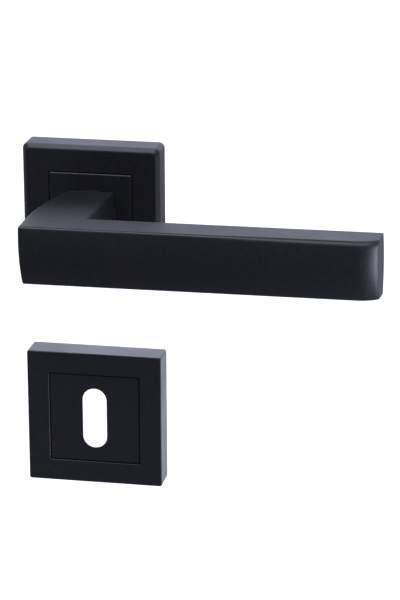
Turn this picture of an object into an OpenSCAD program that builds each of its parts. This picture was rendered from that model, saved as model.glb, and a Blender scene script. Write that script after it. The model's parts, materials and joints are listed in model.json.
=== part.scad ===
// Lever handle on a square rose, with a matching square key escutcheon.
// One side of a door set. The origin is the spindle axis where it meets the face of the door.
// +X runs toward the free end of the lever, +Y goes into the door and +Z is up. Millimetres.

/* [Lever] */
// Overall length of the grip along the door
grip_length = 123.4; // [105:0.1:140]
// How far the crown of the grip stands out from the door
grip_reach = 61.9; // [58:0.1:70]
// Height of the grip
grip_height = 22.1; // [19:0.1:24]
// Height of the grip's top face above the spindle axis
grip_top = 9.4; // [8:0.1:11]
// Angle at which the grip leans toward the door, in degrees
grip_lean = 0.84; // [0:0.01:1.5]
// Depth of the grip from the crown of its front to the crown of its back
grip_depth = 16.5; // [14:0.1:20]
// Radius of the convex front face
grip_crown_radius = 31.5; // [28:0.5:60]
// Radius of the convex back face
grip_back_radius = 27; // [24:0.5:60]
// Width of the neck where it meets the rose
neck_width = 16.9; // [16:0.1:20]
// Height of the neck where it meets the rose
neck_height = 17.4; // [16:0.1:19]

/* [Roses] */
// Side of both square roses
rose_size = 50; // [50:0.5:56]
// Depth of both square roses
rose_depth = 10.6; // [10.6:0.1:12]
// Radius of the lever rose's upright corners
lever_rose_corner = 2; // [0.5:0.1:3]
// Radius of the key rose's upright corners
key_rose_corner = 0.8; // [0.5:0.1:3]
// Radius of the front edges of the lever rose
lever_rose_edge = 2.6; // [0.5:0.1:3]
// Radius of the front edges of the key rose
key_rose_edge = 0.5; // [0.3:0.1:2]
// Side of the square plate set into the lever rose
lever_insert_size = 30; // [28:0.1:36]
// Side of the square plate set into the key rose
key_insert_size = 33.4; // [30:0.1:36]
// How far the lever rose's plate stands proud
insert_proud = 0.4; // [0.2:0.1:0.6]
// How far the key rose's plate lies below the front
insert_sunk = 0.4; // [0.2:0.1:0.6]

/* [Keyhole] */
// Distance from the spindle axis down to the middle of the keyhole
key_distance = 78; // [70:1:92]
// Width of the keyhole
keyhole_width = 9; // [7:0.5:11]
// Height of the keyhole
keyhole_height = 23; // [18:0.5:24]

/* [Fixings] */
// Side of the square spindle
spindle_size = 8; // [7:1:9]
// Length of the spindle behind the door face
spindle_behind = 57; // [45:1:62]
// Distance between the two threaded sleeves of each rose
sleeve_spacing = 38; // [38:0.5:38.5]
// Length of the sleeves behind the door face
sleeve_behind = 7; // [4:0.5:9]
// Length of the wood screws behind the door face
wood_screw_behind = 20; // [12:1:25]

/* [Hidden] */
$fn = 64;

// Cutters run past the faces that they cut by this much
past = 1;

// Finishes
powder_black = "#26262a";
zinc = "#9c9fa3";
steel = "#b9bcc0";
spring_steel = "#6f7378";
nylon = "#232326";

// Grip
grip_left = -13.7;
grip_right = grip_left + grip_length;
grip_bottom = grip_top - grip_height;
grip_front = -grip_reach;
grip_back = grip_front + grip_depth;
crown_height = 4.7;
crown_centre_y = grip_front + grip_crown_radius;
back_crown_height = -3;
back_crown_centre_y = grip_back - grip_back_radius;
end_sweep = 8;
end_radius = 11.1;
end_centre_y = grip_front + end_radius;

// Neck and shank
neck_gap = 0.3;
neck_rear = -rose_depth - insert_proud - neck_gap;
neck_sections = 4;
neck_grip_edge = 0.8;
neck_facets = 28;
neck_outer_edge = 1;
neck_inner_edge = 0.8;
neck_right_inset = 1.2;
neck_arc_radius = 144;
neck_front = grip_back - 4.5;
shank_radius = 7.6;
shank_end = 1.6;
shank_flat = 6.2;
running_fit = 0.05;

// Roses
cover_front = 1.6;
cover_wall = 1.2;
cover_inner_half = rose_size / 2 - cover_wall;
cover_inner_corner = 1.2;
insert_gap = 0.2;
lever_insert_seat = -rose_depth + 0.6;
key_insert_seat = -rose_depth + 1;
neck_hole_radius = 9.1;
pry_notch = [7, 1.2];
base_size = rose_size - 3.4;
base_front = -5;
base_corner = 1;

// Spring case in the lever rose
case_front = -7.9;
case_outer_radius = 14.6;
case_radius = 13.2;
case_floor = -3;
rear_recess_radius = 12.4;
rear_recess_depth = 1;
bush_outer_radius = 9;
bush_flange_radius = 9.7;
bush_flange = 0.6;
driver_front = -7.7;
driver_thickness = 1;
driver_radius = 12.9;
driver_fit = 0.04;
pin_radius = 0.85;
pin_circle = 12.15;
lever_travel = 45;
stop_angle = -90;
stop_margin = 0.6;

// Torsion spring
spring_wire = 1.1;
spring_radius = 10.6;
spring_turns = 1.7;
spring_pitch = 1.3;
spring_fixed_angle = 20;
spring_steps = 48;
spring_bend = 1;
spring_sides = 8;
spring_leg_end = 12.8;
// Angle by which a bend carries its leg past the end of the coil
spring_leg_lean = asin(spring_bend / pin_circle);
spring_rear = case_floor - spring_wire / 2 - 0.1;
spring_moving_angle = spring_fixed_angle - 360 * spring_turns;
finger_angle = 11;
finger_depth = 1.5;
finger_width = 1.1;

// Retention
washer_radius = 11.9;
washer_thickness = 0.5;
ring_thickness = 1;
ring_radius = 10.2;
groove_radius = 7;

// Fixings
sleeve_radius = 3.5;
sleeve_flange_radius = 4.2;
sleeve_flange = 0.9;
sleeve_thread_radius = 1.65;
screw_offset = 16;
screw_head_radius = 3.5;
screw_head_height = 1.9;
screw_neck_radius = 1.9;
screw_neck_end = 0.2;
screw_thread_radius = 1.7;
screw_tip = 4;
screw_point_radius = 0.3;
recess_width = 1;
recess_length = 3.6;
recess_depth = 1.4;
grub_y = -24;
grub_radius = 3;
grub_length = 5.2;
grub_socket_radius = 1.75;
grub_socket_depth = 2.5;
spindle_inside = 38;
socket_fit = 0.03;
socket_extra = 2;

// Cover clips
clip_length = 11;
clip_depth = 3;
clip_thickness = 0.4;
clip_rise = 0.6;
clip_pocket = 1;
clip_middle = -2.6;

// Key rose base
window_width = 18;
window_height = 32;
cover_window_margin = 3;

// A shape drawn in x and z, run from one y to another
module along_y(front, rear) {
    translate([0, rear, 0])
        rotate([90, 0, 0])
            linear_extrude(rear - front)
                children();
}

// A shape drawn in y and z, run from one x to another
module along_x(left, right) {
    translate([left, 0, 0])
        rotate([90, 0, 90])
            linear_extrude(right - left)
                children();
}

// A shape drawn in x and y, run from one z to another
module along_z(bottom, top) {
    translate([0, 0, bottom])
        linear_extrude(top - bottom)
            children();
}

module rod(radius, front, rear) {
    translate([0, rear, 0])
        rotate([90, 0, 0])
            cylinder(h = rear - front, r = radius);
}

module cone(front_radius, rear_radius, front, rear) {
    translate([0, rear, 0])
        rotate([90, 0, 0])
            cylinder(h = rear - front, r1 = rear_radius, r2 = front_radius);
}

module rounded_rectangle(width, height, radius) {
    square([width - 2 * radius, height], center = true);
    square([width, height - 2 * radius], center = true);
    for (x = [-1, 1], z = [-1, 1])
        translate([x * (width / 2 - radius), z * (height / 2 - radius)])
            circle(radius);
}

module slot_outline(width, height) {
    square([width, height - width], center = true);
    for (z = [-1, 1])
        translate([0, z * (height - width) / 2])
            circle(width / 2);
}

// Outline of a rose seen from its edge, with rounded front corners
module rose_edge_outline(edge) {
    translate([-rose_size / 2, -rose_depth + edge])
        square([rose_size, rose_depth - edge]);
    translate([-rose_size / 2 + edge, -rose_depth])
        square([rose_size - 2 * edge, rose_depth]);
    for (side = [-1, 1])
        translate([side * (rose_size / 2 - edge), -rose_depth + edge])
            circle(edge);
}

// Solid outside of a rose, rounded on its front edges and upright corners
module rose_block(edge, corner) {
    intersection() {
        along_y(-rose_depth, 0)
            rounded_rectangle(rose_size, rose_size, corner);
        along_z(-rose_size / 2, rose_size / 2)
            rose_edge_outline(edge);
        rotate([0, 90, 0])
            along_z(-rose_size / 2, rose_size / 2)
                rose_edge_outline(edge);
    }
}

// Pressed shell with a seat for its front plate and a notch for prising it off
module rose_cover(edge, corner, plate_size, seat) {
    seat_size = plate_size + 2 * insert_gap;
    difference() {
        rose_block(edge, corner);
        along_y(-rose_depth + cover_front, past)
            rounded_rectangle(2 * cover_inner_half, 2 * cover_inner_half, cover_inner_corner);
        along_y(-rose_depth - past, seat)
            square([seat_size, seat_size], center = true);
        translate([-pry_notch[0] / 2, -pry_notch[1], -rose_size / 2 - past])
            cube([pry_notch[0], pry_notch[1] + past, 2 * past + cover_wall]);
        children();
    }
}

// Flat plate of a base, with seats for its wood screws
module base_plate() {
    difference() {
        along_y(base_front, 0)
            rounded_rectangle(base_size, base_size, base_corner);
        screw_places()
            union() {
                cone(screw_head_radius, screw_neck_radius, base_front, base_front + screw_head_height);
                rod(screw_neck_radius, base_front, past);
            }
    }
}

// The two wood screws of a rose lie on one diagonal
module screw_places() {
    for (side = [-1, 1])
        translate([side * screw_offset, 0, -side * screw_offset])
            children();
}

module sleeve_places(turn) {
    rotate([0, turn, 0])
        for (side = [-1, 1])
            translate([side * sleeve_spacing / 2, 0, 0])
                children();
}

// Steel sleeve with an M4 thread for a bolt from the other side of the door
module bolt_sleeve() {
    difference() {
        union() {
            rod(sleeve_flange_radius, base_front - sleeve_flange, base_front);
            rod(sleeve_radius, base_front, sleeve_behind);
        }
        rod(sleeve_thread_radius, base_front - sleeve_flange - past, sleeve_behind + past);
    }
}

// Countersunk wood screw with a cross recess
module wood_screw() {
    difference() {
        union() {
            cone(screw_head_radius, screw_neck_radius, base_front, base_front + screw_head_height);
            rod(screw_neck_radius, base_front + screw_head_height, screw_neck_end);
            rod(screw_thread_radius, screw_neck_end, wood_screw_behind - screw_tip);
            cone(screw_thread_radius, screw_point_radius, wood_screw_behind - screw_tip, wood_screw_behind);
        }
        for (turn = [45, 135])
            rotate([0, turn, 0])
                translate([-recess_length / 2, base_front - past, -recess_width / 2])
                    cube([recess_length, recess_depth + past, recess_width]);
    }
}

// Bowed leaf that bears on the inside of a cover's wall, drawn on the +X side
module cover_clip() {
    bow_radius = (pow(clip_length / 2, 2) + pow(clip_rise, 2)) / (2 * clip_rise);
    intersection() {
        translate([cover_inner_half - bow_radius, clip_middle, 0])
            difference() {
                rod(bow_radius, -clip_depth / 2, clip_depth / 2);
                rod(bow_radius - clip_thickness, -clip_depth, clip_depth);
            }
        translate([base_size / 2 - clip_pocket, clip_middle - clip_depth, -clip_length / 2])
            cube([clip_pocket + cover_wall, 2 * clip_depth, clip_length]);
    }
}

// Room in the edge of a base for one clip
module clip_room() {
    room = 0.2;
    translate([base_size / 2 - clip_pocket, clip_middle - clip_depth / 2 - room, -clip_length / 2 - room])
        cube([clip_pocket + past, clip_depth + 2 * room, clip_length + 2 * room]);
}

module both_sides(turn) {
    for (half = [0, 180])
        rotate([0, turn + half, 0])
            children();
}

// Cross section of the grip in y and z: convex front and back, flat top and bottom
module grip_section() {
    intersection() {
        translate([crown_centre_y, crown_height])
            circle(grip_crown_radius, $fn = 128);
        translate([back_crown_centre_y, back_crown_height])
            circle(grip_back_radius, $fn = 128);
        translate([grip_front, grip_bottom])
            square([grip_depth, grip_height]);
    }
}

// Outline of the grip seen from above: the front sweeps back at the free end
module grip_plan() {
    sweep_start = grip_right - end_sweep;
    translate([grip_left, grip_front - past])
        square([sweep_start - grip_left, grip_depth + 2 * past]);
    translate([sweep_start, end_centre_y])
        square([end_sweep, grip_back + past - end_centre_y]);
    intersection() {
        translate([sweep_start, end_centre_y])
            circle(end_radius);
        translate([sweep_start, grip_front - past])
            square([end_sweep, grip_depth]);
    }
}

module grip() {
    turn_y = grip_front + grip_depth / 2;
    translate([grip_left, turn_y, 0])
        rotate([0, 0, grip_lean])
            translate([-grip_left, -turn_y, 0])
                intersection() {
                    along_x(grip_left, grip_right)
                        grip_section();
                    along_z(grip_bottom - past, grip_top + past)
                        grip_plan();
                }
}

// How far the neck's left side has drawn in at a given distance behind the grip
function neck_draw(run) = neck_arc_radius - sqrt(pow(neck_arc_radius, 2) - pow(run, 2));

// One thin slice of the neck; part runs from 0 at the grip to 1 at the rose
module neck_slice(part) {
    run = part * (neck_rear - neck_front);
    left = grip_left + neck_draw(run);
    right = neck_width / 2 - neck_right_inset * (1 - part);
    top = grip_top + part * (neck_height / 2 - grip_top);
    bottom = grip_bottom + part * (-neck_height / 2 - grip_bottom);
    slice = 0.1;
    front = neck_front + run - part * slice;
    outer_edge = neck_grip_edge + part * (neck_outer_edge - neck_grip_edge);
    along_y(front, front + slice)
        for (z = [bottom, top]) {
            inward = z == top ? -1 : 1;
            translate([left + outer_edge, z + inward * outer_edge])
                circle(outer_edge, $fn = neck_facets);
            translate([right - neck_inner_edge, z + inward * neck_inner_edge])
                circle(neck_inner_edge, $fn = neck_facets);
        }
}

// The neck's outer long edges grow rounder toward the rose
module neck() {
    hull()
        for (k = [0:neck_sections - 1])
            neck_slice(k / (neck_sections - 1));
}

// Round shank with two flats behind the rose front, and a groove for the retaining ring
module shank() {
    flats_start = driver_front - running_fit;
    flats_length = shank_end + past - flats_start;
    difference() {
        rod(shank_radius, neck_rear, shank_end);
        for (turn = [0, 180])
            rotate([0, turn, 0])
                translate([-shank_radius, flats_start, shank_flat])
                    cube([2 * shank_radius, flats_length, shank_radius - shank_flat + past]);
        difference() {
            rod(shank_radius + past, ring_front(), ring_front() + ring_thickness);
            rod(groove_radius, ring_front() - past, ring_front() + ring_thickness + past);
        }
    }
}

module lever_handle() {
    socket = spindle_size + 2 * socket_fit;
    color(powder_black)
        difference() {
            union() {
                grip();
                neck();
                shank();
            }
            along_y(-spindle_inside - socket_extra, shank_end + past)
                square([socket, socket], center = true);
            translate([0, grub_y, -spindle_size / 2 - grub_length * 3])
                cylinder(h = grub_length * 3, r = grub_radius);
        }
}

// Hexagon socket screw that holds the spindle in the neck
module grub_screw() {
    color(steel)
        translate([0, grub_y, -spindle_size / 2 - grub_length])
            difference() {
                cylinder(h = grub_length, r = grub_radius);
                translate([0, 0, -past])
                    cylinder(h = grub_socket_depth + past, r = grub_socket_radius, $fn = 6);
            }
}

module spindle() {
    color(steel)
        along_y(-spindle_inside, spindle_behind)
            square([spindle_size, spindle_size], center = true);
}

// Outline of the shank's flats, with some extra room
module keyed_outline(room) {
    intersection() {
        circle(shank_radius + room);
        square([3 * shank_radius, 2 * (shank_flat + room)], center = true);
    }
}

// A ring sector in x and z, with angles measured from +X toward +Z
module sector(inner, outer, from, to) {
    reach = outer * 2;
    middle = (from + to) / 2;
    difference() {
        intersection() {
            circle(outer);
            polygon([
                [0, 0],
                [reach * cos(from), reach * sin(from)],
                [reach * cos(middle), reach * sin(middle)],
                [reach * cos(to), reach * sin(to)]
            ]);
        }
        circle(inner);
    }
}

// Disc keyed to the shank; its notch runs on the stop pin and its finger pushes the spring
module spring_driver() {
    pin_half_angle = asin(pin_radius / pin_circle) + stop_margin;
    leg_half_angle = asin((spring_wire / 2 + 2 * running_fit) / (driver_radius - finger_width));
    finger_from = spring_moving_angle - spring_leg_lean + leg_half_angle;
    driver_rear = driver_front + driver_thickness;
    color(spring_steel) {
        along_y(driver_front, driver_rear)
            difference() {
                circle(driver_radius);
                keyed_outline(driver_fit);
                sector(pin_circle - pin_radius - 0.2, driver_radius + past,
                    stop_angle - pin_half_angle, stop_angle + lever_travel + pin_half_angle);
            }
        along_y(driver_rear, driver_rear + finger_depth)
            sector(driver_radius - finger_width, driver_radius, finger_from, finger_from + finger_angle);
    }
}

// Rear face of the base's recess is where the washer runs
function washer_front() = -rear_recess_depth + running_fit;
function ring_front() = washer_front() + washer_thickness + running_fit;

module thrust_washer() {
    color(steel)
        along_y(washer_front(), washer_front() + washer_thickness)
            difference() {
                circle(washer_radius);
                keyed_outline(driver_fit);
            }
}

// Open ring that snaps into the shank's groove
module retaining_ring() {
    opening = 50;
    lug_radius = 1.5;
    lug_hole_radius = 0.7;
    lug_circle = ring_radius - 0.2;
    color(spring_steel)
        along_y(ring_front() + 0.02, ring_front() + ring_thickness - 0.02)
            difference() {
                union() {
                    circle(ring_radius - 1);
                    for (side = [-1, 1])
                        rotate(90 + side * (opening / 2 + 12))
                            translate([lug_circle, 0])
                                circle(lug_radius, $fn = 32);
                }
                circle(groove_radius);
                sector(0, ring_radius + lug_radius * 2, 90 - opening / 2, 90 + opening / 2);
                for (side = [-1, 1])
                    rotate(90 + side * (opening / 2 + 12))
                        translate([lug_circle, 0])
                            circle(lug_hole_radius, $fn = 24);
            }
}

// Plain bearing for the shank in the front of the rose, flanged behind the cover
module neck_bush() {
    flange_radius = 11;
    flange = 0.9;
    inner_front = -rose_depth + cover_front;
    color(nylon)
        difference() {
            union() {
                rod(neck_hole_radius, -rose_depth - insert_proud, inner_front);
                rod(flange_radius, inner_front, inner_front + flange);
            }
            rod(shank_radius + running_fit, -rose_depth - past, inner_front + flange + past);
        }
}

module lever_rose_insert() {
    color(powder_black)
        along_y(-rose_depth - insert_proud, lever_insert_seat)
            difference() {
                square([lever_insert_size, lever_insert_size], center = true);
                circle(neck_hole_radius);
            }
}

module lever_rose_cover() {
    color(powder_black)
        rose_cover(lever_rose_edge, lever_rose_corner, lever_insert_size, lever_insert_seat)
            rod(neck_hole_radius, -rose_depth - past, past);
}

// Cast base with a round case for the spring, a bearing seat and a recess behind it
module lever_rose_base() {
    color(zinc)
        difference() {
            union() {
                base_plate();
                rod(case_outer_radius, case_front, base_front);
            }
            rod(case_radius, case_front - past, case_floor);
            rod(bush_outer_radius, case_floor - past, past);
            rod(rear_recess_radius, -rear_recess_depth, past);
            sleeve_places(90)
                rod(sleeve_radius, base_front - past, past);
            pin_place(stop_angle)
                rod(pin_radius, case_floor - past, past);
            pin_place(anchor_angle())
                rod(pin_radius, case_floor - past, past);
            both_sides(0)
                clip_room();
        }
}

module bearing_bush() {
    color(nylon)
        difference() {
            union() {
                rod(bush_flange_radius, case_floor - bush_flange, case_floor);
                rod(bush_outer_radius, case_floor, -rear_recess_depth);
            }
            rod(shank_radius + running_fit, case_floor - past, past);
        }
}

module pin_place(angle) {
    translate([pin_circle * cos(angle), 0, pin_circle * sin(angle)])
        children();
}

function anchor_angle() =
    spring_fixed_angle + spring_leg_lean - asin((pin_radius + spring_wire / 2 + running_fit) / pin_circle);

module stop_pin() {
    color(steel)
        pin_place(stop_angle)
            rod(pin_radius, driver_front - running_fit, -rear_recess_depth);
}

module spring_anchor_pin() {
    pin_length = 3.4;
    color(steel)
        pin_place(anchor_angle())
            rod(pin_radius, -rear_recess_depth - pin_length, -rear_recess_depth);
}

function outward(angle) = [cos(angle), 0, sin(angle)];
function along(angle) = [sin(angle), 0, -cos(angle)];

// Each station of the wire is a point on its axis and the heading of its outer side
spring_bend_centre = spring_radius + spring_bend;
spring_front = spring_rear - spring_pitch * spring_turns;
spring_bend_steps = [0:90 / 4:90];
spring_stations = concat(
    [[
        spring_leg_end * outward(spring_fixed_angle) - spring_bend * along(spring_fixed_angle)
            + [0, spring_rear, 0],
        spring_fixed_angle - 90
    ]],
    [for (turn = spring_bend_steps) [
        (spring_bend_centre - spring_bend * sin(turn)) * outward(spring_fixed_angle)
            - spring_bend * cos(turn) * along(spring_fixed_angle) + [0, spring_rear, 0],
        spring_fixed_angle - 90 + turn
    ]],
    [for (k = [1:spring_steps - 1]) [
        spring_radius * outward(spring_angle(k)) + [0, spring_y(k), 0],
        spring_angle(k)
    ]],
    [for (turn = spring_bend_steps) [
        (spring_bend_centre - spring_bend * cos(turn)) * outward(spring_moving_angle)
            + spring_bend * sin(turn) * along(spring_moving_angle) + [0, spring_front, 0],
        spring_moving_angle + turn
    ]],
    [[
        spring_leg_end * outward(spring_moving_angle) + spring_bend * along(spring_moving_angle)
            + [0, spring_front, 0],
        spring_moving_angle + 90
    ]]
);

function spring_angle(k) = spring_fixed_angle - 360 * spring_turns * k / spring_steps;
function spring_y(k) = spring_rear - spring_pitch * spring_turns * k / spring_steps;

// Torsion spring that lifts the lever back to level
module return_spring() {
    last = (len(spring_stations) - 1) * spring_sides;
    points = [
        for (station = spring_stations, side = [0:spring_sides - 1])
            let (around = 360 * side / spring_sides)
            station[0] + spring_wire / 2 * (cos(around) * outward(station[1]) + [0, sin(around), 0])
    ];
    walls = [
        for (ring = [0:spring_sides:last - 1], side = [0:spring_sides - 1])
            let (a = ring + side, b = ring + (side + 1) % spring_sides)
            [a, b, b + spring_sides, a + spring_sides]
    ];
    start = [for (side = [spring_sides - 1:-1:0]) side];
    finish = [for (side = [0:spring_sides - 1]) last + side];
    color(spring_steel)
        polyhedron(points, concat([start], walls, [finish]));
}

module lever_bolt_sleeves() {
    color(steel)
        sleeve_places(90)
            bolt_sleeve();
}

module lever_wood_screws() {
    color(steel)
        screw_places()
            wood_screw();
}

module lever_cover_clips() {
    color(spring_steel)
        both_sides(0)
            cover_clip();
}

module at_key() {
    translate([0, 0, -key_distance])
        children();
}

module key_rose_insert() {
    color(powder_black)
        at_key()
            along_y(-rose_depth + insert_sunk, key_insert_seat)
                difference() {
                    square([key_insert_size, key_insert_size], center = true);
                    slot_outline(keyhole_width, keyhole_height);
                }
}

module key_rose_cover() {
    color(powder_black)
        at_key()
            rose_cover(key_rose_edge, key_rose_corner, key_insert_size, key_insert_seat)
                along_y(-rose_depth - past, past)
                    slot_outline(keyhole_width + cover_window_margin, keyhole_height + cover_window_margin);
}

module key_rose_base() {
    color(zinc)
        at_key()
            difference() {
                base_plate();
                along_y(base_front - past, past)
                    slot_outline(window_width, window_height);
                sleeve_places(0)
                    rod(sleeve_radius, base_front - past, past);
                both_sides(90)
                    clip_room();
            }
}

module key_bolt_sleeves() {
    color(steel)
        at_key()
            sleeve_places(0)
                bolt_sleeve();
}

module key_wood_screws() {
    color(steel)
        at_key()
            screw_places()
                wood_screw();
}

module key_cover_clips() {
    color(spring_steel)
        at_key()
            both_sides(90)
                cover_clip();
}

lever_handle();
grub_screw();
spindle();
spring_driver();
thrust_washer();
retaining_ring();
neck_bush();
lever_rose_insert();
lever_rose_cover();
lever_rose_base();
bearing_bush();
return_spring();
stop_pin();
spring_anchor_pin();
lever_bolt_sleeves();
lever_wood_screws();
lever_cover_clips();
key_rose_insert();
key_rose_cover();
key_rose_base();
key_bolt_sleeves();
key_wood_screws();
key_cover_clips();
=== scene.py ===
import json
import math

import bmesh
import bpy
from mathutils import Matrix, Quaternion, Vector
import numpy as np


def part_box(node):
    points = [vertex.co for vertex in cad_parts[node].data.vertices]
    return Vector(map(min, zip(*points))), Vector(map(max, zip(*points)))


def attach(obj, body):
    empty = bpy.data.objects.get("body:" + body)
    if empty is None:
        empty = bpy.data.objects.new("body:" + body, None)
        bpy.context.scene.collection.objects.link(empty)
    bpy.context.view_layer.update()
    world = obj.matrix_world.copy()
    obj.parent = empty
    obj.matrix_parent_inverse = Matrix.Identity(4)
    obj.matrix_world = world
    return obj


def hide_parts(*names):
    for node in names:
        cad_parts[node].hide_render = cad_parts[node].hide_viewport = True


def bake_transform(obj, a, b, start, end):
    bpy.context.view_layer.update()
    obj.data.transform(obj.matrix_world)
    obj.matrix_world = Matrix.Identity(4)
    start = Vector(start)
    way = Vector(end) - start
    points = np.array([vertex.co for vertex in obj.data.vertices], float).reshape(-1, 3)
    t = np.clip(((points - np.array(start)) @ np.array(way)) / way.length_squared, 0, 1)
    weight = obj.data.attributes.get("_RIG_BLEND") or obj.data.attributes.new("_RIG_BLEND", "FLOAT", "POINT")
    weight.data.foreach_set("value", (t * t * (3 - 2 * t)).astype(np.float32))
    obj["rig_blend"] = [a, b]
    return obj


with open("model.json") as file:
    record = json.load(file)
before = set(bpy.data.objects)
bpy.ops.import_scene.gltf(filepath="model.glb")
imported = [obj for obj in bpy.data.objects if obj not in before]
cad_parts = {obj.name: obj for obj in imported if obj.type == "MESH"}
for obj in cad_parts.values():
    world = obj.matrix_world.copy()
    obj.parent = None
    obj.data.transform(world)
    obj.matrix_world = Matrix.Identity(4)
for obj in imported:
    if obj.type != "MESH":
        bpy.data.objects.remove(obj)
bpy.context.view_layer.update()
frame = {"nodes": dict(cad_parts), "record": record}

MM = 0.001
SHARP = math.radians(32)
NORMAL_WEIGHT = 60
MERGE_DISTANCE, SLIVER = 1e-7, 1e-8
# Cutters run this far past the faces they open, in millimetres
CLEARANCE = 1.0


# Helpers

def millimetres(node):
    """Lowest and highest corners of a CAD node at rest, in millimetres."""
    low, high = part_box(node)
    return [c / MM for c in low], [c / MM for c in high]


def mesh_object(name, points, faces):
    """A mesh from points in millimetres."""
    bm = bmesh.new()
    made = [bm.verts.new(Vector(p) * MM) for p in points]
    for face in faces:
        bm.faces.new([made[i] for i in face])
    return bmesh_object(name, bm)


def bmesh_object(name, bm):
    """Cleans a bmesh in metres and puts it in the scene."""
    bmesh.ops.remove_doubles(bm, verts=bm.verts, dist=MERGE_DISTANCE)
    bmesh.ops.dissolve_degenerate(bm, edges=bm.edges, dist=SLIVER)
    bmesh.ops.recalc_face_normals(bm, faces=bm.faces)
    mesh = bpy.data.meshes.new(name)
    bm.to_mesh(mesh)
    bm.free()
    obj = bpy.data.objects.new(name, mesh)
    bpy.context.scene.collection.objects.link(obj)
    return obj


def ring_skin(rings, closed=False):
    """Points and side faces of a skin over rings that all have the same number of points."""
    count = len(rings[0])
    points = [p for ring in rings for p in ring]
    faces = []
    for k in range(len(rings) if closed else len(rings) - 1):
        a, b = k * count, (k + 1) % len(rings) * count
        for i in range(count):
            j = (i + 1) % count
            faces.append((a + i, a + j, b + j, b + i))
    return points, faces


def loft(name, rings, cap_ends=True, closed=False):
    """Skins rings in millimetres; the skin is capped, left open or joined end to end."""
    points, faces = ring_skin(rings, closed)
    if cap_ends and not closed:
        count = len(rings[0])
        faces.append(tuple(range(count)))
        faces.append(tuple(range(len(points) - count, len(points))))
    return mesh_object(name, points, faces)


def apply_boolean(obj, cutter, operation):
    """Joins or cuts with another object, which is used up."""
    modifier = obj.modifiers.new(operation, "BOOLEAN")
    modifier.object = cutter
    modifier.operation = operation
    modifier.solver = "EXACT"
    depsgraph = bpy.context.evaluated_depsgraph_get()
    result = bpy.data.meshes.new_from_object(obj.evaluated_get(depsgraph))
    obj.modifiers.clear()
    old = obj.data
    obj.data = result
    bpy.data.meshes.remove(old)
    bpy.data.objects.remove(cutter)


def crisp_shading(obj):
    """Smooth shading with sharp creases, under which large faces look flat."""
    obj.data.shade_smooth()
    obj.data.set_sharp_from_angle(angle=SHARP)
    weighted = obj.modifiers.new("weighted_normals", "WEIGHTED_NORMAL")
    weighted.keep_sharp = True
    weighted.weight = NORMAL_WEIGHT


def finish_piece(obj, body, slot, *nodes):
    """Shades a piece, gives it its slot's material and lets it stand for CAD nodes."""
    crisp_shading(obj)
    obj.data.materials.clear()
    obj.data.materials.append(MATERIALS[slot])
    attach(obj, body)
    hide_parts(*nodes)


def block(name, low, high):
    """A plain cutter between two corners, in millimetres."""
    rings = []
    for z in (low[2], high[2]):
        rings.append([(low[0], low[1], z), (high[0], low[1], z), (high[0], high[1], z), (low[0], high[1], z)])
    return loft(name, rings)


def circle_points(radius, count):
    step = 2 * math.pi / count
    return [(radius * math.cos(step * k), radius * math.sin(step * k)) for k in range(count)]


def held(value):
    """Kept between 0 and 1."""
    return min(1.0, max(0.0, value))


# Materials

# The lighter edge colour (wear on the metals, a painted highlight on the black coat) reaches this far from an
# edge, in metres, and shows where the rounded and plain normals part
EDGE_WEAR_AND_HIGHLIGHT_REACH = 0.0003
EDGE_WEAR_AND_HIGHLIGHT_RANGE = (0.80, 0.98)


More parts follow.
